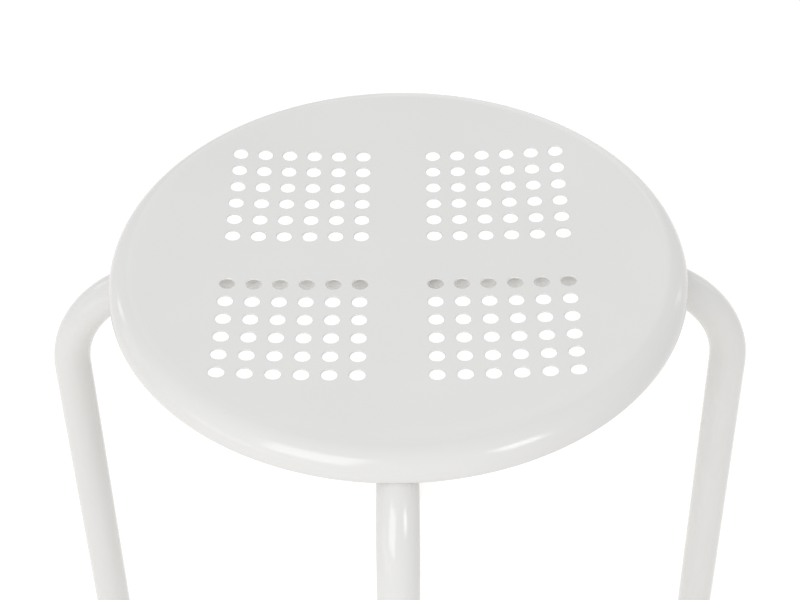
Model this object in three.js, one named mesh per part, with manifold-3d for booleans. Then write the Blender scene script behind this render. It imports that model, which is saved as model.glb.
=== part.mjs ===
// Stacking stool: a round steel seat, dished and perforated, on two bent tube frames that are let
// into each other where they cross under it. Millimetres, +Z up, the floor at z = 0 and the seat's
// axis on Z.
import * as THREE from 'three';
import { mergeVertices } from 'three/addons/utils/BufferGeometryUtils.js';
import Module from 'manifold-3d';

const wasm = await Module();
wasm.setup();

// Driving dimensions of the whole stool
const seat_height = 450;
const contact_gap = 0.3;

// Driving dimensions of the seat, pressed from one round sheet
const seat_diameter = 341;
const sheet = 1;
const dish_depth = 7.1;
const dish_square_share = 0.15;
const shoulder_radius = 14;
const rim_wall = 0.6;
const hem_inner_radius = 0.9;
const hem_turn = Math.PI;
const hole_diameter = 9.3;
const holes_to_a_side = 6;
const plain_band = 34.5;
const hole_margin = 9.5;

// Driving dimensions of the two tube frames
const tube_diameter = 22.4;
const tube_wall = 1.5;
const bend_radius = 72;
const bend_flattening_share = 0.04;
const rim_clearance = 0.7;
const leg_splay = THREE.MathUtils.degToRad(0.75);

// Driving dimensions of the screws and what they hold
const screw_diameter = 6;
const screw_inset = 15;
const screw_head_diameter = 11;
const screw_head_height = 3.3;
const screw_end_gap = 1.5;
const socket_width = 4;
const socket_depth = 2;
const bush_wall = 2.6;
const bush_reach = 7;
const flange_width = 2.3;
const washer_overhang = 2;
const washer_thickness = 1.6;
const saddle_lip = 2.2;

// Driving dimensions of the foot plugs
const foot_overhang = 0.8;
const foot_height = 6;
const foot_edge_radius = 2.4;
const foot_stem_length = 20;
const foot_stem_wall = 1.8;
const foot_rib_depth = 1;
const foot_rib_count = 3;

// Facets: sides of round pieces, and steps in bends
const seat_sides = 60;
const hole_sides = 9;
const tube_sides = 16;
const foot_sides = 10;
const small_sides = 10;
const socket_sides = 6;
const shoulder_steps = 4;
const hem_steps = 3;
const bend_steps = 10;

// How far a cutting tool runs past what it cuts, and the least area of a facet of the dish
const overrun = 1;
const least_area = 1e-3;

// Sizes that follow from the driving ones
const seat_radius = seat_diameter / 2;
const crest_radius = seat_radius - shoulder_radius;
const hem_radius = hem_inner_radius + sheet;
const tube_radius = tube_diameter / 2;
const flattened_radius = tube_radius * (1 - bend_flattening_share);
const screw_radius = screw_diameter / 2;
const bore_radius = screw_radius + contact_gap;
const bush_radius = bore_radius + bush_wall;

// Height of the dish over its own middle, and its slope, at a distance from the axis
function dishRise(r) {
  const share = r / crest_radius;
  return dish_depth * (dish_square_share * share ** 2 + (1 - dish_square_share) * share ** 4);
}

function dishSlope(r) {
  const share = r / crest_radius;
  const steepness = 2 * dish_square_share * share + 4 * (1 - dish_square_share) * share ** 3;
  return Math.atan(dish_depth / crest_radius * steepness);
}

// The round shoulder takes over where it has the slope of the dish. Each pass comes closer to it.
let edge_slope = 0;
for (let pass = 0; pass < 8; pass++) {
  edge_slope = dishSlope(crest_radius - shoulder_radius * Math.sin(edge_slope));
}
const dish_edge = crest_radius - shoulder_radius * Math.sin(edge_slope);
const shoulder_rise = dishRise(dish_edge) - shoulder_radius * Math.cos(edge_slope);
const dish_middle_z = seat_height - shoulder_rise - shoulder_radius;

// A point of the sheet at a depth under its upper face, square to the dish
function sheetPoint(x, y, depth) {
  const r = Math.hypot(x, y);
  const outward = r > 0 ? depth * Math.sin(dishSlope(r)) / r : 0;
  const z = dish_middle_z + dishRise(r) - depth * Math.cos(dishSlope(r));
  return new THREE.Vector3(x * (1 + outward), y * (1 + outward), z);
}

// Height of the sheet's lower face, near enough, over a point of the plan
function undersideHeight(x, y) {
  return dish_middle_z + dishRise(Math.hypot(x, y)) - sheet / Math.cos(dishSlope(Math.hypot(x, y)));
}

// The tubes touch the sheet under the middle of the dish. The bend then passes just under the hem:
// its outer side lies one clearance from the hem's round, which places the start of the bend.
const tube_z = dish_middle_z - sheet - contact_gap - tube_radius;
const hem_z = seat_height - shoulder_radius - rim_wall;
const bend_z = tube_z - bend_radius;
const hem_to_bend = bend_radius + flattened_radius + rim_clearance + hem_radius;
const bend_x = seat_radius - hem_radius - Math.sqrt(hem_to_bend ** 2 - (hem_z - bend_z) ** 2);
const bend_angle = Math.PI / 2 - leg_splay;
const bend_end_x = bend_x + bend_radius * Math.sin(bend_angle);
const bend_end_z = bend_z + bend_radius * Math.cos(bend_angle);
const foot_x = bend_end_x + bend_end_z * Math.tan(leg_splay);
const screw_x = bend_x - screw_inset;

// A ring of points round the axis, counter-clockwise from above
function ringAt(r, z, sides) {
  return Array.from({ length: sides }, (_, i) => {
    const angle = 2 * Math.PI * i / sides;
    return new THREE.Vector3(r * Math.cos(angle), r * Math.sin(angle), z);
  });
}

// Two triangles for each side between one ring and the next
function band(triangles, ring, next) {
  ring.forEach((point, i) => {
    const j = (i + 1) % ring.length;
    triangles.push(point, next[i], next[j], point, next[j], ring[j]);
  });
}

// Triangles given as points, three by three, joined at their shared corners
function joined(triangles) {
  return mergeVertices(new THREE.BufferGeometry().setFromPoints(triangles));
}

// A profile of [radius, height] pairs turned about the vertical axis
function turned(profile, sides) {
  const points = profile.map(([r, z]) => new THREE.Vector2(r, z));
  return new THREE.LatheGeometry(points, sides, Math.PI / 2).rotateX(Math.PI / 2);
}

// A round bar between two heights
function bar(radius, low, high, sides) {
  return turned([[0, low], [radius, low], [radius, high], [0, high]], sides);
}

// A solid that can be cut, and the geometry of one that has been
function solid(geometry) {
  const plain = geometry.clone();
  plain.deleteAttribute('normal');
  plain.deleteAttribute('uv');
  const mesh = mergeVertices(plain);
  const corners = [];
  for (let i = 0; i < mesh.index.count; i += 3) {
    const [a, b, c] = [0, 1, 2].map((k) => mesh.index.getX(i + k));
    if (a !== b && b !== c && c !== a) corners.push(a, b, c);
  }
  return new wasm.Manifold(new wasm.Mesh({
    numProp: 3,
    vertProperties: mesh.attributes.position.array,
    triVerts: Uint32Array.from(corners),
  }));
}

function geometryOf(body) {
  const mesh = body.getMesh();
  const geometry = new THREE.BufferGeometry();
  geometry.setAttribute('position', new THREE.BufferAttribute(mesh.vertProperties, 3));
  geometry.setIndex(new THREE.BufferAttribute(mesh.triVerts, 1));
  return geometry;
}

// The seat's holes stand in four square groups, with a plain band between the groups, where the
// tubes run below. The corner hole of each group comes within a margin of the edge of the dish.
function holeCentres() {
  const first = (plain_band + hole_diameter) / 2;
  const last = (dish_edge - hole_margin - hole_diameter / 2) / Math.SQRT2;
  const steps = Array.from({ length: holes_to_a_side }, (_, i) => i / (holes_to_a_side - 1));
  const places = steps.map((step) => THREE.MathUtils.lerp(first, last, step));
  const line = [...places.map((place) => -place), ...places];
  return line.flatMap((x) => line.map((y) => new THREE.Vector2(x, y)));
}

// Upper or lower face of the rim, as the radius and height of each ring: from the edge of the dish
// over the crest and round the shoulder, then round the hem, which rolls inward and up
function rimProfile(depth) {
  const shoulder = shoulder_radius - depth;
  const hem = hem_radius - depth;
  const steps = Array.from({ length: shoulder_steps + 1 }, (_, i) => Math.PI / 2 * i / shoulder_steps);
  const over = [-edge_slope, ...steps].map((angle) => [
    crest_radius + shoulder * Math.sin(angle),
    seat_height - shoulder_radius + shoulder * Math.cos(angle),
  ]);
  const rolls = Array.from({ length: hem_steps + 1 }, (_, i) => hem_turn * i / hem_steps);
  const under = rolls.map((angle) => [
    seat_radius - hem_radius + hem * Math.cos(angle),
    hem_z - hem * Math.sin(angle),
  ]);
  return [...over, ...under];
}

// Triangles of a flat face, with a side that two of them share laid across the other way wherever
// that is shorter, so that no triangle bridges the hollow of the dish
function evened(faces, flat) {
  const area = (a, b, c) => THREE.ShapeUtils.area([flat[a], flat[b], flat[c]]);
  for (let swaps = 1; swaps > 0;) {
    swaps = 0;
    const facing = new Map();
    faces.forEach((face, i) => face.forEach((a, k) => {
      facing.set(`${a} ${face[(k + 1) % 3]}`, [i, face[(k + 2) % 3]]);
    }));
    const used = new Set();
    for (const [side, [i, c]] of facing) {
      const [a, b] = side.split(' ').map(Number);
      const [j, d] = facing.get(`${b} ${a}`) ?? [i, c];
      if (used.has(i) || used.has(j)) continue;
      if (flat[c].distanceTo(flat[d]) >= flat[a].distanceTo(flat[b])) continue;
      if (j === i || Math.min(area(a, d, c), area(d, b, c)) < least_area) continue;
      faces[i] = [a, d, c];
      faces[j] = [d, b, c];
      used.add(i).add(j);
      swaps += 1;
    }
  }
  return faces;
}

// The pressing: the dish between its outline and its holes on both faces, the wall of each hole,
// and the rim as one skin that runs out over the upper face and back over the lower one
function seatGeometry() {
  const outline = ringAt(dish_edge, 0, seat_sides).map((p) => new THREE.Vector2(p.x, p.y));
  const round = ringAt(hole_diameter / 2, 0, hole_sides);
  const holes = holeCentres().map((c) => round.map((p) => new THREE.Vector2(c.x + p.x, c.y + p.y)));
  const flat = [outline, ...holes].flat();
  const upper = flat.map((p) => sheetPoint(p.x, p.y, 0));
  const lower = flat.map((p) => sheetPoint(p.x, p.y, sheet));
  const triangles = [];
  evened(THREE.ShapeUtils.triangulateShape(outline, holes), flat).forEach(([a, b, c]) => {
    triangles.push(upper[a], upper[b], upper[c], lower[a], lower[c], lower[b]);
  });
  holes.forEach((_, i) => {
    const start = seat_sides + hole_sides * i;
    band(triangles, lower.slice(start, start + hole_sides), upper.slice(start, start + hole_sides));
  });
  const profile = [...rimProfile(0), ...rimProfile(sheet).reverse()];
  const rings = profile.map(([r, z]) => ringAt(r, z, seat_sides));
  rings.slice(1).forEach((ring, i) => band(triangles, rings[i], ring));
  return joined(triangles);
}

// One half of a frame's centre line, round the bend and down to the foot. Each station has its
// place, the angle that the tube has turned down, and how far the bend has flattened its section.
function halfStations() {
  const stations = Array.from({ length: bend_steps + 1 }, (_, i) => {
    const turn = bend_angle * i / bend_steps;
    const x = bend_x + bend_radius * Math.sin(turn);
    const z = bend_z + bend_radius * Math.cos(turn);
    const flattening = tube_radius * bend_flattening_share * Math.sin(Math.PI * i / bend_steps);
    return { x, z, turn, flattening };
  });
  const end = (foot_height + contact_gap) * Math.cos(leg_splay);
  const end_x = foot_x - end * Math.tan(leg_splay);
  stations.push({ x: end_x, z: end, turn: bend_angle, flattening: 0 });
  return stations;
}

// A ring of the tube's section at a station, square to the centre line there. Where the section is
// flattened it is lower in the plane of the bend, and wider across it by as much.
function tubeRing(station, inset) {
  const wide = tube_radius + station.flattening - inset;
  const high = tube_radius - station.flattening - inset;
  return ringAt(1, 0, tube_sides).reverse().map((p) => {
    const x = station.x + high * p.y * Math.sin(station.turn);
    return new THREE.Vector3(x, wide * p.x, station.z + high * p.y * Math.cos(station.turn));
  });
}

// A hole down through one wall of the tube, or through all of it
function drilled(frame, x, radius, low, high) {
  return frame.subtract(solid(bar(radius, low, high, small_sides).translate(x, 0, 0)));
}

// The half of the other frame's round that a frame gives way to where they cross: the lower half
// for the frame that keeps its upper wall there, whose kept side is +1, or the upper half for -1
function crossingCut(kept_side) {
  const reach = tube_diameter + overrun;
  const round = bar(tube_radius + contact_gap, -reach, reach, tube_sides).rotateX(Math.PI / 2);
  const half = new THREE.BoxGeometry(2 * reach, 2 * reach, reach);
  half.translate(0, 0, kept_side * (contact_gap - reach) / 2);
  return solid(round).intersect(solid(half)).translate([0, 0, tube_z]);
}

// A frame in the X-Z plane: its outer skin from foot to foot and its inner skin back again
function frameGeometry(kept_side) {
  const half = halfStations();
  const mirrored = half.map((s) => ({ ...s, x: -s.x, turn: -s.turn })).reverse();
  const stations = [...mirrored, ...half];
  const outer = stations.map((s) => tubeRing(s, 0));
  const inner = stations.map((s) => tubeRing(s, tube_wall)).reverse();
  const rings = [...outer, ...inner];
  const triangles = [];
  rings.forEach((ring, i) => band(triangles, ring, rings[(i + 1) % rings.length]));
  const top = tube_z + tube_radius + overrun;
  const bottom = tube_z - tube_radius - overrun;
  const bush_hole = bush_radius + contact_gap;
  let frame = solid(joined(triangles)).subtract(crossingCut(kept_side));
  for (const x of [-screw_x, 0, screw_x]) {
    frame = drilled(frame, x, bush_hole, tube_z, top);
    frame = drilled(frame, x, bore_radius, bottom, tube_z);
  }
  return geometryOf(frame);
}

// A foot plug on its leg's slanted axis: a sole with a round edge, and a hollow ribbed stem that
// fits the tube. Its sole is cut level with the floor.
function footGeometry() {
  const radius = tube_radius + foot_overhang;
  const rib = tube_radius - tube_wall - contact_gap;
  const core = rib - foot_rib_depth;
  const bore = core - foot_stem_wall;
  const trim = radius * Math.tan(leg_splay);
  const profile = [[0, -trim], [radius - foot_edge_radius, -trim]];
  profile.push([radius - foot_edge_radius * (1 - Math.SQRT1_2), foot_edge_radius * (1 - Math.SQRT1_2)]);
  profile.push([radius, foot_edge_radius], [radius, foot_height]);
  const step = foot_stem_length / foot_rib_count;
  for (let i = 0; i < foot_rib_count; i++) {
    const z = foot_height + step * i;
    profile.push([core, z], [rib, z + step / 2]);
  }
  const stem_top = foot_height + foot_stem_length;
  profile.push([core, stem_top], [bore, stem_top], [bore, foot_height], [0, foot_height]);
  const leaning = turned(profile, foot_sides).rotateY(-leg_splay).translate(foot_x, 0, 0);
  const above = new THREE.BoxGeometry(seat_diameter, seat_diameter, seat_height);
  above.translate(foot_x, 0, seat_height / 2);
  return geometryOf(solid(leaning).intersect(solid(above)));
}

// A threaded bush, welded under the sheet and coated with it. Its upper face follows the dish, and
// where the sheet stands clear of the tube it has a flange that the tube is drawn against.
function bushGeometry(x, flanged) {
  const top = tube_z + tube_radius;
  const low = top - bush_reach;
  const seat_top = undersideHeight(x, 0) - contact_gap;
  const flange = bush_radius + flange_width;
  const shoulder = top + contact_gap;
  const outside = flanged
    ? [[bush_radius, shoulder], [flange, shoulder], [flange, seat_top]]
    : [[bush_radius, seat_top]];
  const profile = [[bore_radius, low], [bush_radius, low], ...outside];
  profile.push([bore_radius, seat_top], [bore_radius, low]);
  const bush = turned(profile, small_sides).translate(x, 0, 0);
  const place = bush.attributes.position;
  for (let i = 0; i < place.count; i++) {
    if (Math.abs(place.getZ(i) - seat_top) > contact_gap / 3) continue;
    place.setZ(i, undersideHeight(place.getX(i), place.getY(i)) - contact_gap);
  }
  return bush;
}

// A washer under the tube: flat at the crossing, and elsewhere a saddle with lips round the tube
function washerGeometry(x, saddle) {
  const radius = screw_head_diameter / 2 + washer_overhang;
  const high = tube_z - tube_radius - contact_gap;
  const low = high - washer_thickness;
  const lip = saddle ? saddle_lip : 0;
  const block = bar(radius, low, high + lip, small_sides).translate(x, 0, 0);
  const bore = bar(bore_radius, low - overrun, high + saddle_lip + overrun, small_sides);
  const washer = solid(block).subtract(solid(bore.translate(x, 0, 0)));
  if (!saddle) return geometryOf(washer);
  const reach = radius + overrun;
  const groove = bar(tube_radius + contact_gap, -reach, reach, tube_sides).rotateY(Math.PI / 2);
  return geometryOf(washer.subtract(solid(groove.translate(x, 0, tube_z))));
}

// A button-headed screw, driven from below by a hexagonal socket, ending inside its bush
function screwGeometry(x) {
  const seat = tube_z - tube_radius - washer_thickness - 2 * contact_gap;
  const end = undersideHeight(x, 0) - screw_end_gap;
  const head = screw_head_diameter / 2;
  const rim = seat - screw_head_height / 3;
  const low = seat - screw_head_height;
  const profile = [[0, low], [(head + screw_radius) / 2, low], [head, rim], [head, seat]];
  profile.push([screw_radius, seat], [screw_radius, end], [0, end]);
  const socket_radius = socket_width / Math.sqrt(3);
  const socket = bar(socket_radius, low - overrun, low + socket_depth, socket_sides);
  return geometryOf(solid(turned(profile, small_sides)).subtract(solid(socket))).translate(x, 0, 0);
}

// Finishes
const powder_coat = { color: 0xeeeeec, roughness: 0.42, metalness: 0 };
const white_plastic = { color: 0xe6e6e2, roughness: 0.55, metalness: 0 };
const zinc = { color: 0xb9bcbf, roughness: 0.38, metalness: 1 };

function piece(name, geometry, finish) {
  const mesh = new THREE.Mesh(geometry, new THREE.MeshStandardMaterial(finish));
  mesh.name = name;
  return mesh;
}

// Assembly. Each side of the stool has a foot, and a bush, a washer and a screw under the seat.
const stool = new THREE.Group();
stool.add(piece('seat', seatGeometry(), powder_coat));
stool.add(piece('frame_left_right', frameGeometry(1), powder_coat));
const front_back = piece('frame_front_back', frameGeometry(-1), powder_coat);
front_back.rotation.z = Math.PI / 2;
stool.add(front_back);

['right', 'back', 'left', 'front'].forEach((side, quarter) => {
  const arm = new THREE.Group();
  arm.rotation.z = quarter * Math.PI / 2;
  arm.add(piece(`foot_${side}`, footGeometry(), white_plastic));
  arm.add(piece(`weld_bush_${side}`, bushGeometry(screw_x, true), powder_coat));
  arm.add(piece(`saddle_washer_${side}`, washerGeometry(screw_x, true), zinc));
  arm.add(piece(`screw_${side}`, screwGeometry(screw_x), zinc));
  stool.add(arm);
});

stool.add(piece('weld_bush_middle', bushGeometry(0, false), powder_coat));
stool.add(piece('flat_washer_middle', washerGeometry(0, false), zinc));
stool.add(piece('screw_middle', screwGeometry(0), zinc));

export default stool;
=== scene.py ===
import math

import bmesh
import bpy
import numpy as np
from mathutils import Matrix, Vector


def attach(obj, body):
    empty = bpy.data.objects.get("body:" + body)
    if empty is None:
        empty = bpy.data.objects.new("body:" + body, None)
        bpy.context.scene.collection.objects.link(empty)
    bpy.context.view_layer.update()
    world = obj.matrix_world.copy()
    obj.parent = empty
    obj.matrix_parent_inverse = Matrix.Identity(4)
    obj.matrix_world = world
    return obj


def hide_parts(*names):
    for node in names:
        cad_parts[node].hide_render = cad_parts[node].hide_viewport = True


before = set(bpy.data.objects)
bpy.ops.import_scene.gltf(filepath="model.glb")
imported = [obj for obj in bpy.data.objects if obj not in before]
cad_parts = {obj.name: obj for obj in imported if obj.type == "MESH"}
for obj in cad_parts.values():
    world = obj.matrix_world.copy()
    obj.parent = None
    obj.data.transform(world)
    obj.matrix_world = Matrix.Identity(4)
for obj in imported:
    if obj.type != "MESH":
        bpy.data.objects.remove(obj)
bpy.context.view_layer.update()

# Camera. It stands in front of the stool and looks down into the dish of the seat, over the front
# leg, through a long lens. The picture ends a little way down the legs.
MM = 0.001  # every length below is in millimetres where nothing else is said

# The focal length is in the picture's pixels, and the angles are in radians
picture_width, sensor_width, focal_length = 800, 36, 1737.2
camera_turn, camera_tilt, camera_roll = 0.011987, 0.726415, -0.016553
camera_distance, camera_reach = 998.72, 100000
camera_target = Vector((1.297, -35.892, 442.768))

camera_data = bpy.data.cameras.new("camera")
camera_data.sensor_fit = "HORIZONTAL"
camera_data.sensor_width = sensor_width
camera_data.lens = sensor_width * focal_length / picture_width
camera_data.clip_end = camera_reach * MM
camera = bpy.data.objects.new("camera", camera_data)
bpy.context.scene.collection.objects.link(camera)
bpy.context.scene.camera = camera


def towards(turn, tilt):
    """Unit vector away from the stool, at an angle round it from the front and an angle up."""
    level = math.cos(tilt)
    return Vector((math.sin(turn) * level, -math.cos(turn) * level, math.sin(tilt)))


def aimed(turn, tilt, roll, target, distance):
    """Place of something that looks at the target from a distance, rolled about its own view."""
    back = towards(turn, tilt)
    right = Vector((0, 0, 1)).cross(back).normalized()
    up = back.cross(right)
    axes = Matrix((right, up, back)).transposed() @ Matrix.Rotation(roll, 3, "Z")
    return Matrix.Translation((target + back * distance) * MM) @ axes.to_4x4()


camera.matrix_world = aimed(camera_turn, camera_tilt, camera_roll, camera_target, camera_distance)


# Studio. A white paper floor that runs on to the horizon, an even white sky of large diffusers,
# and soft boxes that put the gloss on the rim and the legs. The camera sees the paper as white.
class Wire:
    """An output of a node. Arithmetic on wires adds Math nodes: 1 - wire * 0.5 adds two."""

    def __init__(self, recipe, socket):
        self.recipe, self.socket = recipe, socket

    def out(self, name):
        """Another output of the same node."""
        return Wire(self.recipe, self.socket.node.outputs[name])

    def __add__(self, other):
        return self.recipe.maths("ADD", self, other)

    def __sub__(self, other):
        return self.recipe.maths("SUBTRACT", self, other)

    def __rsub__(self, other):
        return self.recipe.maths("SUBTRACT", other, self)

    def __mul__(self, other):
        return self.recipe.maths("MULTIPLY", self, other)

    __radd__, __rmul__ = __add__, __mul__


class Recipe:
    """The node tree of a material or of the world, which every node joins through add."""

    def __init__(self, holder):
        holder.use_nodes = True
        self.tree = holder.node_tree
        self.tree.nodes.clear()

    def add(self, kind, settings={}, sockets={}, output=0):
        """A node: first its settings, then the values or wires of its sockets. Gives a wire from
        one of its outputs, if it has any."""
        node = self.tree.nodes.new(kind)
        for name, value in settings.items():
            setattr(node, name, value)
        for key, value in sockets.items():
            if isinstance(value, Wire):
                self.tree.links.new(value.socket, node.inputs[key])
            else:
                node.inputs[key].default_value = value
        return Wire(self, node.outputs[output]) if node.outputs else None

    def maths(self, operation, first, second):
        """A Math node on two wires or numbers."""
        return self.add("ShaderNodeMath", {"operation": operation}, {0: first, 1: second})

    def seen(self):
        """1 for what the camera sees, directly, in a reflection or through something; else 0."""
        direct = self.add("ShaderNodeLightPath", output="Is Camera Ray")
        mirrored = direct.out("Is Glossy Ray") + direct.out("Is Transmission Ray")
        return self.maths("MINIMUM", direct + mirrored, 1.0)


# The sky is full white to the camera and to what mirrors or bends its view, and lights the stool
# with less
sky_light, white = 0.62, (1, 1, 1, 1)
world = bpy.data.worlds.new("white_sky")
bpy.context.scene.world = world
sky = Recipe(world)
strength = sky.seen() * (1 - sky_light) + sky_light
background = sky.add("ShaderNodeBackground", {}, {"Color": white, "Strength": strength})
sky.add("ShaderNodeOutputWorld", {}, {"Surface": background})

# The paper glows a little by itself. In the camera's view it glows more, to be white but for the
# stool's shadow, and most of all far from the stool, where the boxes don't light it. The two
# distances are in metres.
paper_colour = (0.84, 0.825, 0.80, 1)
paper_glow, near_glow, far_glow, near_stool, far_from_stool = 0.12, 0.26, 0.37, 0.6, 4.0

paper = bpy.data.materials.new("white_paper")
floor_paper = Recipe(paper)
matt = floor_paper.add("ShaderNodeBsdfDiffuse", {}, {"Color": paper_colour})
place = floor_paper.add("ShaderNodeTexCoord", output="Object")
distance = floor_paper.add("ShaderNodeVectorMath", {"operation": "LENGTH"}, {0: place}, "Value")
view_glow = floor_paper.add(
    "ShaderNodeMapRange",
    {"interpolation_type": "SMOOTHSTEP"},
    {0: distance, 1: near_stool, 2: far_from_stool, 3: near_glow, 4: far_glow},
)
whole_glow = floor_paper.seen() * view_glow + paper_glow
glow = floor_paper.add("ShaderNodeEmission", {}, {"Color": whole_glow})
lit = floor_paper.add("ShaderNodeAddShader", {}, {0: matt, 1: glow})

# It is clear from below, and also to very short rays: the soles stand just over it, and would be
# black in a view from below. A ray of either kind goes through.
shortest_ray = 1
from_below = floor_paper.add("ShaderNodeNewGeometry", output="Backfacing")
ray_length = floor_paper.add("ShaderNodeLightPath", output="Ray Length")
from_sole = floor_paper.maths("LESS_THAN", ray_length, shortest_ray * MM)
through = 1 - (1 - from_below) * (1 - from_sole)
clear = floor_paper.add("ShaderNodeBsdfTransparent")
one_sided = floor_paper.add("ShaderNodeMixShader", {}, {0: through, 1: lit, 2: clear})
floor_paper.add("ShaderNodeOutputMaterial", {}, {"Surface": one_sided})

paper_reach, paper_drop = 30000, 0.05
floor_mesh = bpy.data.meshes.new("floor")
edge = paper_reach * MM
floor_corners = [(-edge, -edge), (edge, -edge), (edge, edge), (-edge, edge)]
floor_mesh.from_pydata([(x, y, -paper_drop * MM) for x, y in floor_corners], [], [(0, 1, 2, 3)])
floor_mesh.materials.append(paper)
floor = bpy.data.objects.new("floor", floor_mesh)
bpy.context.scene.collection.objects.link(floor)


# Each soft box is aimed at the seat, from an angle round the stool and an angle up, in degrees,
# and has a width, a height and a brightness. White has brightness 1, as the sky has to the camera,
# and a lamp reaches it with four watts to each square metre.
box_distance, box_target = 1800, Vector((0, 0, 400))
watts_per_square_metre = 4
for name, turn, tilt, width, height, brightness in (
    ("front_left", -31, 35, 900, 1000, 2.36),
    ("front_right", 44, 36, 440, 470, 4.2),
    ("floor_left", -62, 4, 800, 450, 0.50),
    ("floor_front_left", -40, 5, 900, 350, 0.37),
    ("left", -105, 12, 470, 800, 0.28),
    ("back_right", 165, 16, 1100, 1200, 0.27),
    ("back", 180, 32, 1600, 1400, 0.32),
    ("left_edge", -120, 16, 190, 330, 1.75),
    ("right_edge", 122, 10, 130, 500, 1.0),
):
    lamp = bpy.data.lights.new(f"{name}_box", "AREA")
    lamp.shape = "RECTANGLE"
    lamp.size, lamp.size_y = width * MM, height * MM
    lamp.energy = brightness * watts_per_square_metre * lamp.size * lamp.size_y
    box = bpy.data.objects.new(f"{name}_box", lamp)
    bpy.context.scene.collection.objects.link(box)
    box.matrix_world = aimed(math.radians(turn), math.radians(tilt), 0, box_target, box_distance)

bpy.context.scene.view_settings.view_transform = "Standard"


# Seat. One round steel sheet, punched with four square groups of holes, pressed to a dish with a
# round shoulder, and rolled under at its edge. Powder coated satin white, which leaves a fine
# orange peel on the faces and rounds every punched edge.
seat_height, seat_radius, sheet = 450, 170.5, 1.0
dish_depth, dish_square_share = 7.1, 0.15
shoulder_radius, rim_wall, hem_bore = 14, 0.6, 0.9
crest = seat_radius - shoulder_radius
hem_radius = hem_bore + sheet


def dish_rise(r):
    """Height over the middle of the dish: one share grows with the square of the distance from
    the axis, and the rest with its fourth power."""
    share = r / crest
    return dish_depth * (dish_square_share * share**2 + (1 - dish_square_share) * share**4)


def dish_slope(r):
    """Angle of the dish outwards and up, from the derivative of its height."""
    share = r / crest
    steepness = 2 * dish_square_share * share + 4 * (1 - dish_square_share) * share**3
    return np.arctan(dish_depth / crest * steepness)


# The shoulder's arc starts where it has the slope of the dish. This place and the slope depend on
# each other, and settle within a few rounds.
edge_slope, rounds = 0.0, 8
for _ in range(rounds):
    edge_slope = float(dish_slope(crest - shoulder_radius * math.sin(edge_slope)))
dish_edge = crest - shoulder_radius * math.sin(edge_slope)
shoulder_z = seat_height - shoulder_radius
dish_middle = shoulder_z + shoulder_radius * math.cos(edge_slope) - dish_rise(dish_edge)
least_radius = 1e-9  # in the place of 0, which nothing can be divided by


def on_sheet(x, y, depth):
    """Points of the sheet over a place in plan, at a depth under its upper face. The depth runs
    square to the dish, so a deeper point moves outwards by the sine of the slope."""
    r = np.maximum(np.hypot(x, y), least_radius)
    spread = 1 + depth * np.sin(dish_slope(r)) / r
    z = dish_middle + dish_rise(r) - depth * np.cos(dish_slope(r))
    return np.stack(np.broadcast_arrays(x * spread, y * spread, z), axis=-1)


def square_ring(places):
    """Closed ring of points round a square of half side 1, from its right front corner on: the
    places on one side run from -1 up to 1 without it, and the other sides are turned copies."""
    side = np.stack([np.ones(len(places)), places], axis=-1)
    quarter = np.array([[0, 1], [-1, 0]])
    sides = [side @ np.linalg.matrix_power(quarter, turns) for turns in range(4)]
    return np.concatenate([*sides, side[:1]])


def round_ring(sides, start=0.0):
    """Closed ring of points round a circle of radius 1, the last of them again the first."""
    angle = start + np.linspace(0, 2 * np.pi, sides + 1)
    return np.stack([np.cos(angle), np.sin(angle)], axis=-1)


merge_distance, sharp_edge = 0.002, math.radians(40)


def skinned(name, grids, finish, node=None):
    """One closed piece from grids of points in millimetres, each rows x columns x 3. Every four
    neighbours make a face, grids join where their points meet, and faces are turned outwards.
    The piece is shaded smooth but for its sharp edges, and may replace a CAD node."""
    points, faces, count = [], [], 0
    for grid in grids:
        rows, columns = grid.shape[:2]
        number = count + np.arange(rows * columns).reshape(rows, columns)
        corners = number[:-1, :-1], number[:-1, 1:], number[1:, 1:], number[1:, :-1]
        faces.append(np.stack(corners, axis=-1).reshape(-1, 4))
        points.append(grid.reshape(-1, 3))
        count += rows * columns
    mesh = bpy.data.meshes.new(name)
    mesh.from_pydata(np.concatenate(points) * MM, [], np.concatenate(faces).tolist())
    shell = bmesh.new()
    shell.from_mesh(mesh)
    bmesh.ops.remove_doubles(shell, verts=shell.verts, dist=merge_distance * MM)
    bmesh.ops.recalc_face_normals(shell, faces=shell.faces)
    shell.to_mesh(mesh)
    shell.free()
    mesh.shade_smooth()
    mesh.set_sharp_from_angle(angle=sharp_edge)
    mesh.materials.append(finish)
    piece = bpy.data.objects.new(name, mesh)
    bpy.context.scene.collection.objects.link(piece)
    if node:
        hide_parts(node)
    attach(piece, "root")
    return piece


def noise(recipe, per_metre, detail=0.0, roughness=0.5):
    """A noise in the object's own space, from 0 to 1, with so many bumps to the metre."""
    place = recipe.add("ShaderNodeTexCoord", output="Object")
    return recipe.add(
        "ShaderNodeTexNoise",
        {},
        {"Vector": place, "Scale": per_metre, "Detail": detail, "Roughness": roughness},
    )


def between(recipe, share, first, second):
    """A colour between two, by a share. The Mix node has its colours at 6 and 7, and out at 2."""
    ends = {0: share, 6: first, 7: second}
    return recipe.add("ShaderNodeMix", {"data_type": "RGBA"}, ends, 2)


def surface(colour, roughness, bumps, bump_height, **constants):
    """Ends a recipe: the Principled shader with its varying colour, roughness and bumps."""
    recipe = colour.recipe
    bump = recipe.add("ShaderNodeBump", {}, {"Height": bumps, "Distance": bump_height * MM})
    sockets = {"Base Color": colour, "Roughness": roughness, "Normal": bump, **constants}
    shader = recipe.add("ShaderNodeBsdfPrincipled", {}, sockets)
    recipe.add("ShaderNodeOutputMaterial", {}, {"Surface": shader})


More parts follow.
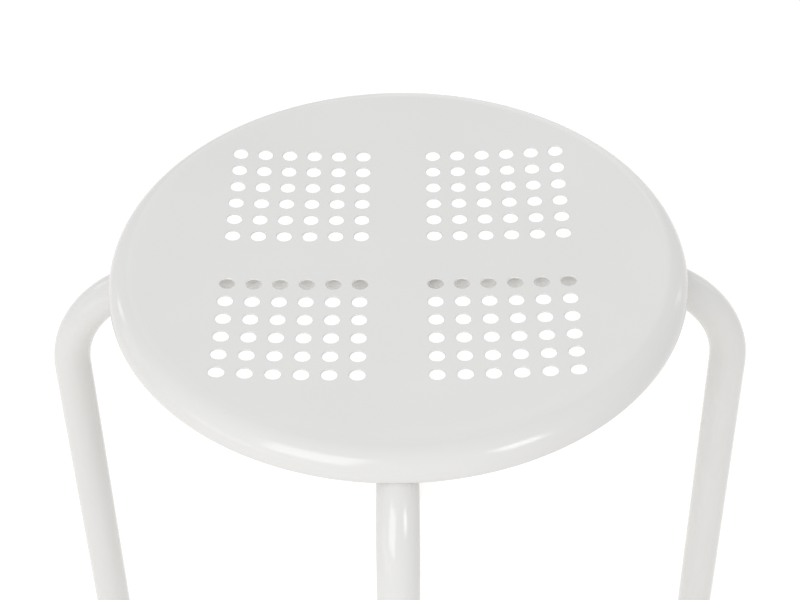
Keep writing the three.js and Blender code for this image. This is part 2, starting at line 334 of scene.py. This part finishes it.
# A slow cloud in colour and gloss, the orange peel, and a fine grain
coat_shade, coat_light = (0.780, 0.777, 0.768, 1), (0.815, 0.812, 0.803, 1)
powder_coat = bpy.data.materials.new("powder_coat")
coat = Recipe(powder_coat)
cloud = noise(coat, 16, 2)
peel = noise(coat, 620, 1)
grain = noise(coat, 2600)
surface(
    between(coat, cloud, coat_shade, coat_light),
    roughness=0.12 + cloud * 0.04 + grain * 0.03,
    bumps=peel * 0.8 + grain * 0.2,
    bump_height=0.010,
)

# The lines of holes, evenly spaced from the plain band out to the margin of the dish. The coat
# narrows each hole and rounds its edges, the upper one most.
hole_radius, holes_to_a_side, plain_band, hole_margin = 4.65, 6, 34.5, 9.5
hole_coat, upper_edge, lower_edge, edge_strip = 0.15, 0.8, 0.2, 0.25
hole_steps, band_steps, outer_steps, shoulder_steps, hem_steps = 6, 8, 10, 16, 12
first_line = plain_band / 2 + hole_radius
last_line = (dish_edge - hole_margin - hole_radius) / math.sqrt(2)
lines = np.linspace(first_line, last_line, holes_to_a_side)
half_pitch = (lines[1] - lines[0]) / 2
band_side = first_line - half_pitch
holes_side = last_line + half_pitch

# The square cell of each hole: flat to the edge of the hole, round it, down its wall and back
edge_turn = np.radians([0, 30, 60, 90])
upper_rings = hole_radius - hole_coat + upper_edge * (1 - np.sin(edge_turn))
upper_depths = upper_edge * (1 - np.cos(edge_turn))
lower_rings = hole_radius - hole_coat + lower_edge * (1 - np.sin(edge_turn[::-1]))
lower_depths = sheet - lower_edge * (1 - np.cos(edge_turn[::-1]))
rings = np.concatenate([[upper_rings[0] + edge_strip], upper_rings, lower_rings])
rings = np.append(rings, lower_rings[-1] + edge_strip)
depths = np.concatenate([[0, 0], upper_depths, lower_depths, [sheet, sheet]])
cell = square_ring(np.linspace(-1, 1, hole_steps, endpoint=False)) * half_pitch
circle = round_ring(4 * hole_steps, -np.pi / 4)
plan = np.concatenate([[cell], rings[:, None, None] * circle, [cell]])
centres = np.concatenate([-lines[::-1], lines])
centre_x, centre_y = [c.reshape(-1, 1, 1) for c in np.meshgrid(centres, centres)]
seat_grids = list(on_sheet(centre_x + plan[..., 0], centre_y + plan[..., 1], depths[:, None]))

# The plain cross between the groups, and the ground from the square of holes to the round dish
across = np.linspace(-band_side, band_side, band_steps + 1)
along = np.linspace(band_side, holes_side, holes_to_a_side * hole_steps + 1)
line_of_side = np.concatenate([-along[::-1], across[1:-1], along]) / holes_side
ground = square_ring(line_of_side[:-1]) * holes_side
dish_ring = round_ring(len(ground) - 1, -np.pi / 4)
run_out = np.linspace(0, 1, outer_steps + 1)[:, None, None]
ground_plan = ground * (1 - run_out) + dish_ring * dish_edge * run_out
for depth in (0, sheet):
    seat_grids.append(on_sheet(*np.meshgrid(across, across), depth))
    seat_grids += [on_sheet(*np.meshgrid(across, side * along), depth) for side in (-1, 1)]
    seat_grids += [on_sheet(*np.meshgrid(side * along, across), depth) for side in (-1, 1)]
    seat_grids.append(on_sheet(ground_plan[..., 0], ground_plan[..., 1], depth))


def rim_profile(depth):
    """Radius and height of the rim at a depth in the sheet: an arc over the crest and down the
    shoulder, a short wall, and an arc of half a turn inwards round the hem."""
    over = np.concatenate([[-edge_slope], np.linspace(0, np.pi / 2, shoulder_steps + 1)])
    under = np.linspace(0, np.pi, hem_steps + 1)
    over_radius, under_radius = shoulder_radius - depth, hem_radius - depth
    over_r, over_z = over_radius * np.sin(over), over_radius * np.cos(over)
    under_r, under_z = under_radius * np.cos(under), under_radius * np.sin(under)
    r = np.concatenate([crest + over_r, seat_radius - hem_radius + under_r])
    z = np.concatenate([shoulder_z + over_z, shoulder_z - rim_wall - under_z])
    return np.stack([r, z], axis=-1)


# The sheet's cut edge inside the hem is rounded by its coat
hem_end = np.radians([135, 90, 45])
cut_edge = np.stack([np.cos(hem_end), np.sin(hem_end)], axis=-1) * sheet / 2
cut_edge += (seat_radius - hem_radius * 2 + sheet / 2, shoulder_z - rim_wall)
rim = np.concatenate([rim_profile(0), cut_edge, rim_profile(sheet)[::-1]])


def lathe(profile, ring):
    """Grid of a profile of radii and heights carried round the axis on a ring of unit points."""
    radius, height = profile[:, :1], profile[:, 1:]
    points = np.broadcast_arrays(radius * ring[:, 0], radius * ring[:, 1], height)
    return np.stack(points, axis=-1)


seat_grids.append(lathe(rim, dish_ring))
skinned("seat_pressing", seat_grids, powder_coat, "seat")


# Leg frames. Two steel tubes, each bent to an upside-down U. They are let into each other where
# they cross, so that both lie in the height of one: the left-right tube gives way below and the
# other above. Four weld beads run along the seam. Powder coated as the seat is.
tube_radius, tube_wall, contact_gap = 11.2, 1.5, 0.3
bend_radius, bend_flattening, rim_clearance = 72, 0.04, 0.7
leg_splay, foot_height = math.radians(0.75), 6
tube_sides, straight_steps, bend_steps, leg_steps = 48, 12, 44, 6
tube_z = dish_middle - sheet - contact_gap - tube_radius
bend_z = tube_z - bend_radius
hem_to_bend = bend_radius + tube_radius * (1 - bend_flattening) + rim_clearance + hem_radius
bend_drop = shoulder_z - rim_wall - bend_z
bend_x = seat_radius - hem_radius - math.sqrt(hem_to_bend**2 - bend_drop**2)
bend_angle = math.pi / 2 - leg_splay
bend_end_x = bend_x + bend_radius * math.sin(bend_angle)
bend_end_z = bend_z + bend_radius * math.cos(bend_angle)
foot_x = bend_end_x + bend_end_z * math.tan(leg_splay)


def centre_line():
    """Stations of a frame from foot to foot: a leg, the arc of a bend, the straight top, and the
    same again mirrored. Each has its place, how far the tube has turned down, and how much the
    bend has flattened it, which grows and fades as half a sine wave."""
    straight = np.linspace(0, bend_x, straight_steps + 1)[1:]
    turn = np.linspace(0, bend_angle, bend_steps + 1)[1:]
    tube_end = (foot_height + contact_gap) * math.cos(leg_splay)
    leg = np.linspace(bend_end_z, tube_end, leg_steps + 1)[1:]
    x = [straight, bend_x + bend_radius * np.sin(turn), foot_x - leg * math.tan(leg_splay)]
    z = [np.full(straight_steps, tube_z), bend_z + bend_radius * np.cos(turn), leg]
    turns = [np.zeros(straight_steps), turn, np.full(leg_steps, bend_angle)]
    flattening = tube_radius * bend_flattening * np.sin(np.pi * turn / bend_angle)
    flattenings = [np.zeros(straight_steps), flattening, np.zeros(leg_steps)]
    x, z, turns, flattenings = (np.concatenate(part) for part in (x, z, turns, flattenings))
    mirrored = -x[::-1], z[::-1], -turns[::-1], flattenings[::-1]
    halves = zip(mirrored, (x, z, turns, flattenings))
    return [np.concatenate(pair)[:, None] for pair in halves]


def tube_skin(inset):
    """Ovals round the centre line, each square to it: lower in the plane of the bend and wider
    across it by the flattening, and smaller all round by the inset."""
    x, z, turn, flattening = centre_line()
    across, out = round_ring(tube_sides).T
    across = across * (tube_radius + flattening - inset)
    out = out * (tube_radius - flattening - inset)
    points = np.broadcast_arrays(x + out * np.sin(turn), across, z + out * np.cos(turn))
    return np.stack(points, axis=-1)


def turned(points, quarter):
    """Points turned about the stool's axis by quarter turns: 0 right, 1 back, 2 left, 3 front."""
    c, s = round(math.cos(quarter * math.pi / 2)), round(math.sin(quarter * math.pi / 2))
    return points @ np.array([[c, s, 0], [-s, c, 0], [0, 0, 1]], float)


cross_clearance = 0.05  # of the cut over the round of the other tube


def add_cylinder(drill, radius, length, matrix, sides):
    """Adds a closed cylinder to the drill, along the z axis of a matrix and round its place."""
    radius *= MM
    bmesh.ops.create_cone(
        drill, cap_ends=True, segments=sides, radius1=radius, radius2=radius,
        depth=length * MM, matrix=matrix,
    )


def cut_out(piece, quarter, holes, kept_side):
    """Cuts a frame's upright holes, each a place along it, a radius and a low and high end, and
    the half of the other frame's round that it gives way to, away from the side that it keeps."""
    drill = bmesh.new()
    middle = Matrix.Translation(Vector((0, 0, tube_z)) * MM)
    across = middle @ Matrix.Rotation(math.pi / 2, 4, "X")
    radius, length = tube_radius + cross_clearance, 4 * tube_radius
    add_cylinder(drill, radius, length, across, 2 * tube_sides)
    half_way = Vector((0, 0, tube_z + kept_side * contact_gap / 2)) * MM
    everything = [*drill.verts, *drill.edges, *drill.faces]
    bmesh.ops.bisect_plane(
        drill, geom=everything, plane_co=half_way, plane_no=(0, 0, kept_side), clear_outer=True
    )
    bmesh.ops.holes_fill(drill, edges=drill.edges)
    for x, radius, low, high in holes:
        place = Matrix.Translation(Vector((x, 0, (low + high) / 2)) * MM)
        add_cylinder(drill, radius, high - low, place, tube_sides)
    bmesh.ops.recalc_face_normals(drill, faces=drill.faces)
    turn = Matrix.Rotation(quarter * math.pi / 2, 4, "Z")
    bmesh.ops.transform(drill, matrix=turn, verts=drill.verts)
    cutter_mesh = bpy.data.meshes.new("drill")
    drill.to_mesh(cutter_mesh)
    drill.free()
    cutter = bpy.data.objects.new("drill", cutter_mesh)
    bpy.context.scene.collection.objects.link(cutter)
    cut = piece.modifiers.new("drill", "BOOLEAN")
    cut.operation, cut.solver, cut.object = "DIFFERENCE", "EXACT", cutter
    cut.use_self = True
    evaluated = piece.evaluated_get(bpy.context.evaluated_depsgraph_get())
    piece.data = bpy.data.meshes.new_from_object(evaluated)
    piece.modifiers.clear()
    bpy.data.objects.remove(cutter)
    piece.data.set_sharp_from_angle(angle=sharp_edge)


# Each frame is screwed to the seat in its middle and short of its bends: a wide hole for the bush
# in its upper wall, and a narrow one for the screw in its lower wall
bore, bush_radius, screw_to_bend, overrun = 3.3, 5.9, 15, 1
screw_x = bend_x - screw_to_bend
upper_wall = tube_z + tube_radius / 2, tube_z + tube_radius + overrun
lower_wall = tube_z - tube_radius - overrun, tube_z - tube_radius / 2
for name, quarter, kept_side in (("left_right", 0, 1), ("front_back", 1, -1)):
    outer, inner = tube_skin(0), tube_skin(tube_wall)[::-1]
    walls = turned(np.concatenate([outer, inner, outer[:1]]), quarter)
    tube = skinned(f"tube_{name}", [walls], powder_coat, f"frame_{name}")
    holes = [(x, bush_radius + contact_gap, *upper_wall) for x in (-screw_x, 0, screw_x)]
    holes += [(x, bore, *lower_wall) for x in (-screw_x, 0, screw_x)]
    cut_out(tube, quarter, holes, kept_side)

bead_radius, bead_stand, bead_end, bead_fade = 1.9, 0.2, math.radians(52), 12
ripple_pitch, ripple_depth = 1.7, 0.10
bead_steps, bead_sides = 168, 14


def weld_bead():
    """Grid of one bead. Two equal tubes meet along a slanted ellipse: at an angle up from their
    middle its point is (cos, cos, sin) of that angle, times the radius. The bead is a round along
    it, pushed out by a share of its radius, rippled by its length and drawn in to its ends."""
    share = np.linspace(-1, 1, bead_steps + 1)[:, None]
    angle = share * bead_end
    c, s = np.cos(angle), np.sin(angle)
    path = np.concatenate([c, c, s], axis=1) * tube_radius
    outward = np.concatenate([c, c, 2 * s], axis=1)
    outward /= np.linalg.norm(outward, axis=1)[:, None]
    forward = np.gradient(path, axis=0)
    step = np.linalg.norm(forward, axis=1)[:, None]
    sideways = np.cross(forward / step, outward)
    ripple = ripple_depth * np.abs(np.sin(np.pi * np.cumsum(step, axis=0) / ripple_pitch))
    radius = (bead_radius * c + ripple) * np.sqrt(1 - share**bead_fade)
    turn = round_ring(bead_sides)[:, :, None]
    path += outward * radius * bead_stand + (0, 0, tube_z)
    return path[:, None] + radius[:, None] * (
        outward[:, None] * turn[:, 0] + sideways[:, None] * turn[:, 1]
    )


for quarter, corner in enumerate(("right_back", "left_back", "left_front", "right_front")):
    skinned(f"weld_bead_{corner}", [turned(weld_bead(), quarter)], powder_coat)


# Bushes. Five short threaded steel bushes, welded under the seat before it is coated. They reach
# through the tubes' upper walls, and the outer four have a flange between seat and tube.
sides = ["right", "back", "left", "front"]
small_sides = 64
bush_reach, flange_width = 7, 2.3
bush_round, bush_mouth_round, flange_round, seat_end_round = 0.6, 0.5, 0.2, 0.3


def eased(corners, steps=4):
    """A profile of corners (radius, height, rounding). Each corner becomes a short curve that
    starts and ends its rounding away from it: a weighted mean of these two points and itself."""
    points = np.array([corner[:2] for corner in corners], float)
    profile = []
    for i, (_, _, rounding) in enumerate(corners):
        if not rounding:
            profile.append(points[i][None])
            continue
        before = points[i - 1] - points[i]
        after = points[(i + 1) % len(points)] - points[i]
        start = points[i] + before / np.linalg.norm(before) * rounding
        end = points[i] + after / np.linalg.norm(after) * rounding
        t = np.linspace(0, 1, steps + 1)[:, None]
        profile.append(start * (1 - t) ** 2 + points[i] * 2 * t * (1 - t) + end * t**2)
    return np.concatenate(profile)


def underside(x, y):
    """Height of the sheet's lower face over a point in plan."""
    r = np.hypot(x, y)
    return dish_middle + dish_rise(r) - sheet / np.cos(dish_slope(r))


def bush(x, flanged):
    """Grid of a bush: its profile turned about its own axis, with the upper face laid along the
    underside of the seat."""
    top = tube_z + tube_radius
    seat_top = float(underside(x, 0)) - contact_gap
    nose = top - bush_reach
    corners = [(bore, nose, bush_mouth_round), (bush_radius, nose, bush_round)]
    if flanged:
        shoulder, flange = top + contact_gap, bush_radius + flange_width
        corners += [(bush_radius, shoulder, 0), (flange, shoulder, flange_round)]
    else:
        shoulder, flange = seat_top - bush_reach / 2, bush_radius
    corners += [(flange, seat_top, flange_round), (bore, seat_top, seat_end_round)]
    profile = eased(corners)
    grid = lathe(np.concatenate([profile, profile[:1]]), round_ring(small_sides))
    follow = np.clip((grid[..., 2] - shoulder) / (seat_top - shoulder), 0, 1)
    grid[..., 0] += x
    grid[..., 2] += follow * (underside(grid[..., 0], grid[..., 1]) - contact_gap - seat_top)
    return grid


for quarter, side in enumerate(sides):
    grid = turned(bush(screw_x, True), quarter)
    skinned(f"bush_{side}", [grid], powder_coat, f"weld_bush_{side}")
skinned("bush_middle", [bush(0, False)], powder_coat, "weld_bush_middle")


# Washers. Zinc-plated steel, between the tubes and the screws' heads: four pressed to a saddle
# that lies round the tube, and a flat one under the crossing.
washer_radius, washer_thickness, saddle_lip = 7.5, 1.6, 2.2
punch_round, lower_round, upper_round, face_margin, face_rings = 0.2, 0.5, 0.25, 0.3, 14

# Dull stains, the crystals of the plating, and scratches
zinc_shade, zinc_light = (0.45, 0.465, 0.49, 1), (0.57, 0.57, 0.56, 1)
zinc = bpy.data.materials.new("zinc_steel")
plating = Recipe(zinc)
stain = noise(plating, 140, 3)
spangle = noise(plating, 1500, 2)
scratch = noise(plating, 5200)
surface(
    between(plating, stain, zinc_shade, zinc_light),
    roughness=0.22 + stain * 0.14 + spangle * 0.08,
    bumps=spangle * 0.6 + scratch * 0.4,
    bump_height=0.006,
    Metallic=1.0,
)


def washer(x, saddle):
    """Grid of a washer. Its outer wall rises where the saddle lies deeper round the tube: the
    upper face is flat, or a circle across the tube, cut off level at the lips."""
    high = tube_z - tube_radius - contact_gap
    low = high - washer_thickness
    corners = [(bore, low, punch_round), (washer_radius, low, lower_round)]
    wall = eased([*corners, (washer_radius, high, upper_round)])
    face = np.linspace(washer_radius - face_margin, bore + upper_round, face_rings)
    profile = np.array([*wall, *[(r, high) for r in face], (bore, high - upper_round), wall[0]])
    grid = lathe(profile, round_ring(small_sides))
    if saddle:
        groove = tube_z - np.sqrt((tube_radius + contact_gap) ** 2 - grid[..., 1] ** 2)
        rise = np.minimum(groove, high + saddle_lip) - high
        still = low + lower_round
        grid[..., 2] += rise * np.clip((grid[..., 2] - still) / (high - still), 0, 1)
    grid[..., 0] += x
    return grid


for quarter, side in enumerate(sides):
    grid = turned(washer(screw_x, True), quarter)
    skinned(f"saddle_{side}", [grid], zinc, f"saddle_washer_{side}")
skinned("flat_washer", [washer(0, False)], zinc, "flat_washer_middle")


# Screws. Five button-headed steel screws with a hexagonal socket, zinc plated, driven up from
# below through washer and tube into the bushes, which draws tube and seat together.
screw_radius, head_radius, head_height, head_round = 3, 5.5, 3.3, 0.25
dome_share, dome_steps, screw_end_gap = 0.82, 12, 1.5
socket_across, socket_depth, socket_point, mouth_depth, mouth_share = 4, 2, 0.9, 0.25, 1.08
thread_pitch, thread_depth, plain_shank, point_depth, rows_per_turn = 1, 0.5, 1, 0.8, 6


def screw(x):
    """Grids of a screw. Head and socket: rings that change from a hexagon to a circle, up to a
    dome that rises as one less the cosine. Shank: its radius is a triangle wave of height less
    turn, which winds the thread."""
    seat = tube_z - tube_radius - washer_thickness - 2 * contact_gap
    low = seat - head_height
    end = float(underside(x, 0)) - screw_end_gap
    ring = round_ring(small_sides)
    angle = np.linspace(0, 2 * np.pi, small_sides + 1)
    sector = (angle + np.pi / 6) % (np.pi / 3) - np.pi / 6
    hexagon = socket_across / 2 / np.cos(sector)
    socket_radius = np.array([[0], [1], [1], [mouth_share]]) * hexagon
    socket_rise = [[socket_depth + socket_point], [socket_depth], [mouth_depth], [0]]
    mouth = socket_radius[-1]
    dome = np.linspace(0, np.pi / 2, dome_steps)[1:, None]
    dome_radius = mouth + (head_radius - mouth) * np.sin(dome)
    dome_rise = head_height * dome_share * (1 - np.cos(dome))
    edge_radius = np.ones_like(hexagon) * [[head_radius], [head_radius - head_round]]
    edge_rise = [[head_height - head_round], [head_height]]
    radius = np.concatenate([socket_radius, dome_radius, edge_radius])
    z = low + np.concatenate([socket_rise, dome_rise, edge_rise])
    points = np.broadcast_arrays(x + radius * ring[:, 0], radius * ring[:, 1], z)
    head = np.stack(points, axis=-1)
    turns = (end - seat) / thread_pitch
    z = np.linspace(seat, end, int(turns * rows_per_turn) + 1)[:, None]
    wave = np.abs(2 * ((z / thread_pitch - angle / (2 * np.pi)) % 1) - 1)
    fade = np.clip(z - seat - plain_shank, 0, 1)
    radius = screw_radius - thread_depth * wave * fade
    radius = np.minimum(radius, screw_radius - point_depth + (end - z))
    points = np.broadcast_arrays(x + radius * ring[:, 0], radius * ring[:, 1], z)
    shank = np.stack(points, axis=-1)
    under_head = np.stack([head[-1], shank[0]])
    tip = np.stack([shank[-1], np.broadcast_to([x, 0, end], shank[-1].shape)])
    return [head, under_head, shank, tip]


for quarter, side in enumerate(sides):
    grids = [turned(grid, quarter) for grid in screw(screw_x)]
    skinned(f"button_screw_{side}", grids, zinc, f"screw_{side}")
skinned("button_screw_middle", screw(0), zinc, "screw_middle")


# Feet. Four plugs of white moulded plastic, pushed into the tube ends up to their collar. Ribs
# grip the tube inside, and the sole is level with the floor. It has a dimple in the middle, where
# the mould was filled, and a groove near its edge.
foot_radius, foot_edge, collar_round, fine_round = 11.99, 2.4, 0.4, 0.1
dimple_floor, dimple_mouth, dimple_depth, dimple_round = 1.5, 1.8, 0.3, 0.2
groove_mouth, groove_floor, groove_depth = (7.6, 9), (8, 8.6), 0.4
stem_length, stem_wall, stem_end_round, stem_floor_round = 20, 1.8, 0.2, 0.5
rib_depth, rib_count, rib_round, foot_round_steps = 1, 3, 0.3, 6

# Flow marks of the moulding, and the fine sparking of the mould's wall
plastic_shade, plastic_light = (0.745, 0.745, 0.725, 1), (0.80, 0.80, 0.785, 1)
plastic = bpy.data.materials.new("foot_plastic")
moulding = Recipe(plastic)
flow = noise(moulding, 90, 2)
spark = noise(moulding, 3200, 1)
surface(
    between(moulding, flow, plastic_shade, plastic_light),
    roughness=0.48 + flow * 0.10 + spark * 0.05,
    bumps=spark,
    bump_height=0.020,
)


def foot():
    """Grid of a foot: its profile turned about the leg's slanted axis, then lifted to the floor
    where the slant would carry it below."""
    rib = tube_radius - tube_wall - contact_gap
    core = rib - rib_depth
    inner = core - stem_wall
    sole, top = -foot_radius * math.tan(leg_splay), foot_height + stem_length
    corners = [
        (0, sole + dimple_depth, 0),
        (dimple_floor, sole + dimple_depth, dimple_round),
        (dimple_mouth, sole, fine_round),
        (groove_mouth[0], sole, fine_round),
        (groove_floor[0], sole + groove_depth, fine_round),
        (groove_floor[1], sole + groove_depth, fine_round),
        (groove_mouth[1], sole, fine_round),
        (foot_radius, sole, foot_edge),
        (foot_radius, foot_height, collar_round),
        (core, foot_height, 0),
    ]
    step = stem_length / rib_count
    for i in range(rib_count):
        low = foot_height + step * i
        corners += [(rib, low + step / 2, rib_round), (core, low + step, 0)]
    corners += [(inner, top, stem_end_round), (inner, foot_height, stem_floor_round)]
    corners += [(0, foot_height, 0)]
    grid = lathe(eased(corners, foot_round_steps), round_ring(small_sides))
    c, s = math.cos(leg_splay), math.sin(leg_splay)
    x, y, z = np.moveaxis(grid, -1, 0)
    return np.stack([foot_x + x * c - z * s, y, np.maximum(z * c + x * s, 0)], axis=-1)


for quarter, side in enumerate(sides):
    grid = turned(foot(), quarter)
    skinned(f"foot_plug_{side}", [grid], plastic, f"foot_{side}")
